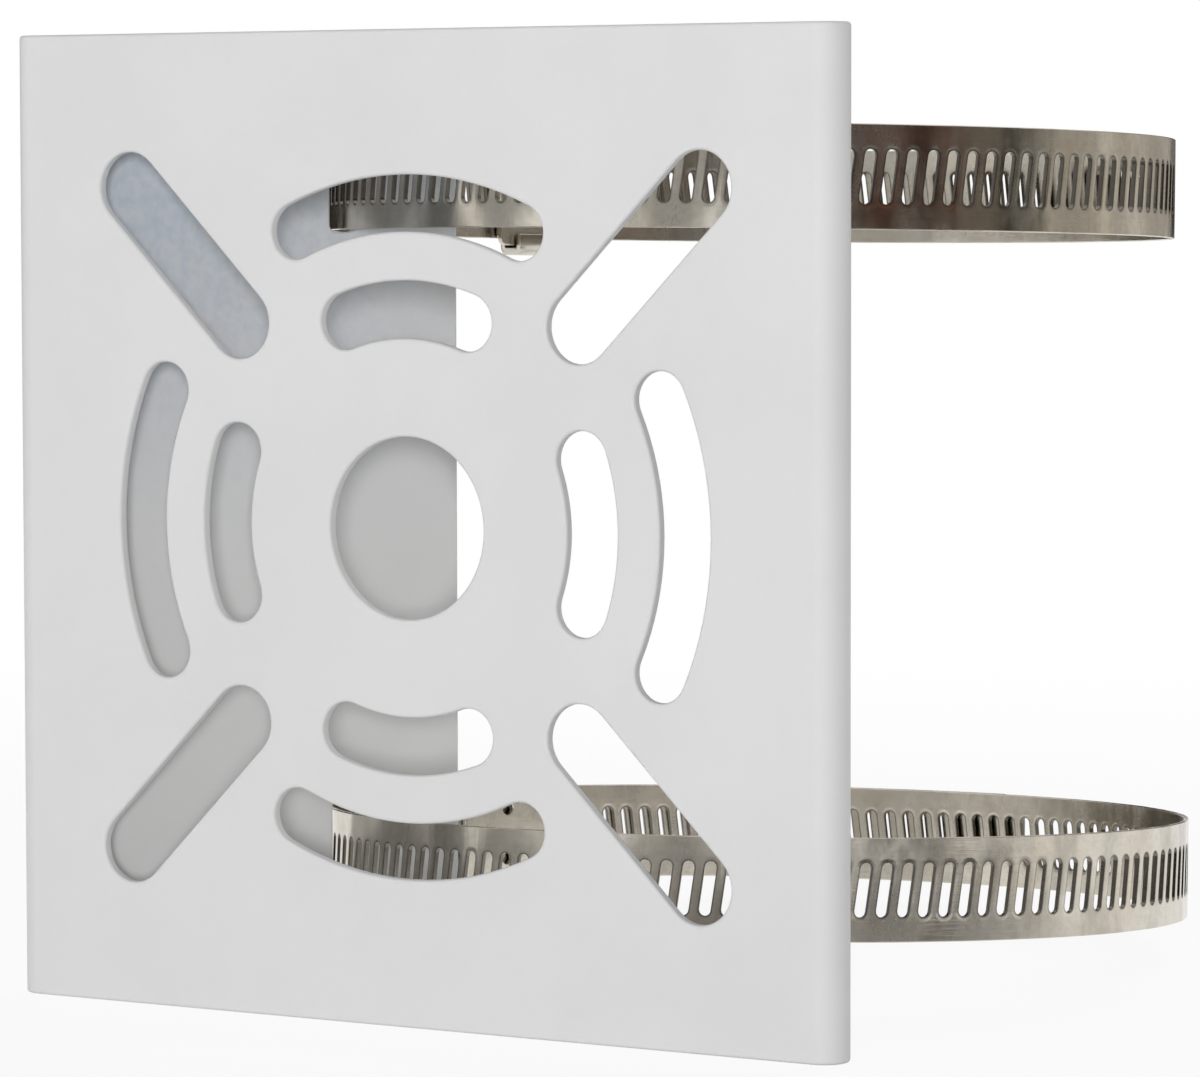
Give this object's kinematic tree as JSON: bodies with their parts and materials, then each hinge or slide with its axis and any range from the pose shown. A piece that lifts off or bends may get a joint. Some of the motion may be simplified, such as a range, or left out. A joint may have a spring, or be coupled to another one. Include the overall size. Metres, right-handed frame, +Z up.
{
  "type": "pole mount bracket",
  "caption": "Folded sheet bracket with a slotted camera plate and two swept-back flanges, held to a pole by perforated worm drive clamps.",
  "frame": {"origin": "middle of the plate's bottom edge, half way through the sheet", "axes": "+Z up, -Y out of the camera side of the plate, +Y towards the pole, +X to the right of someone who looks along +Y"},
  "size_m": [0.1226, 0.1393, 0.118],
  "materials": {
    "coated_sheet": "satin light grey powder coat",
    "stainless_strip": "rolled stainless strip, slightly warm and mottled",
    "plated_screw": "plain turned and plated steel"
  },
  "bodies": {
    "bracket": {"bracket": "coated_sheet"},
    "upper_clamp": {"upper_band": "stainless_strip", "upper_housing": "stainless_strip", "upper_saddle": "stainless_strip"},
    "upper_screw": {"upper_worm_screw": "plated_screw"},
    "lower_clamp": {"lower_band": "stainless_strip", "lower_housing": "stainless_strip", "lower_saddle": "stainless_strip"},
    "lower_screw": {"lower_worm_screw": "plated_screw"}
  },
  "joints": [
    {"name": "upper_clamp_turn", "type": "hinge", "parent": "bracket", "child": "upper_clamp", "pos_m": [0, 0.07964, 0.09935], "axis": [-0.004, 0.0283, 0.9996], "range_deg": [-186, 65]},
    {"name": "upper_screw_turn", "type": "hinge", "parent": "upper_clamp", "child": "upper_screw", "pos_m": [-0.05295, 0.10779, 0.09834], "axis": [0.4696, 0.8826, -0.0231], "continuous": true},
    {"name": "lower_clamp_turn", "type": "hinge", "parent": "bracket", "child": "lower_clamp", "pos_m": [0, 0.08133, 0.01185], "axis": [-0.0129, 0.0513, 0.9986], "range_deg": [-194, 58]},
    {"name": "lower_screw_turn", "type": "hinge", "parent": "lower_clamp", "child": "lower_screw", "pos_m": [-0.05738, 0.10276, 0.01001], "axis": [0.3508, 0.9354, -0.0435], "continuous": true}
  ]
}
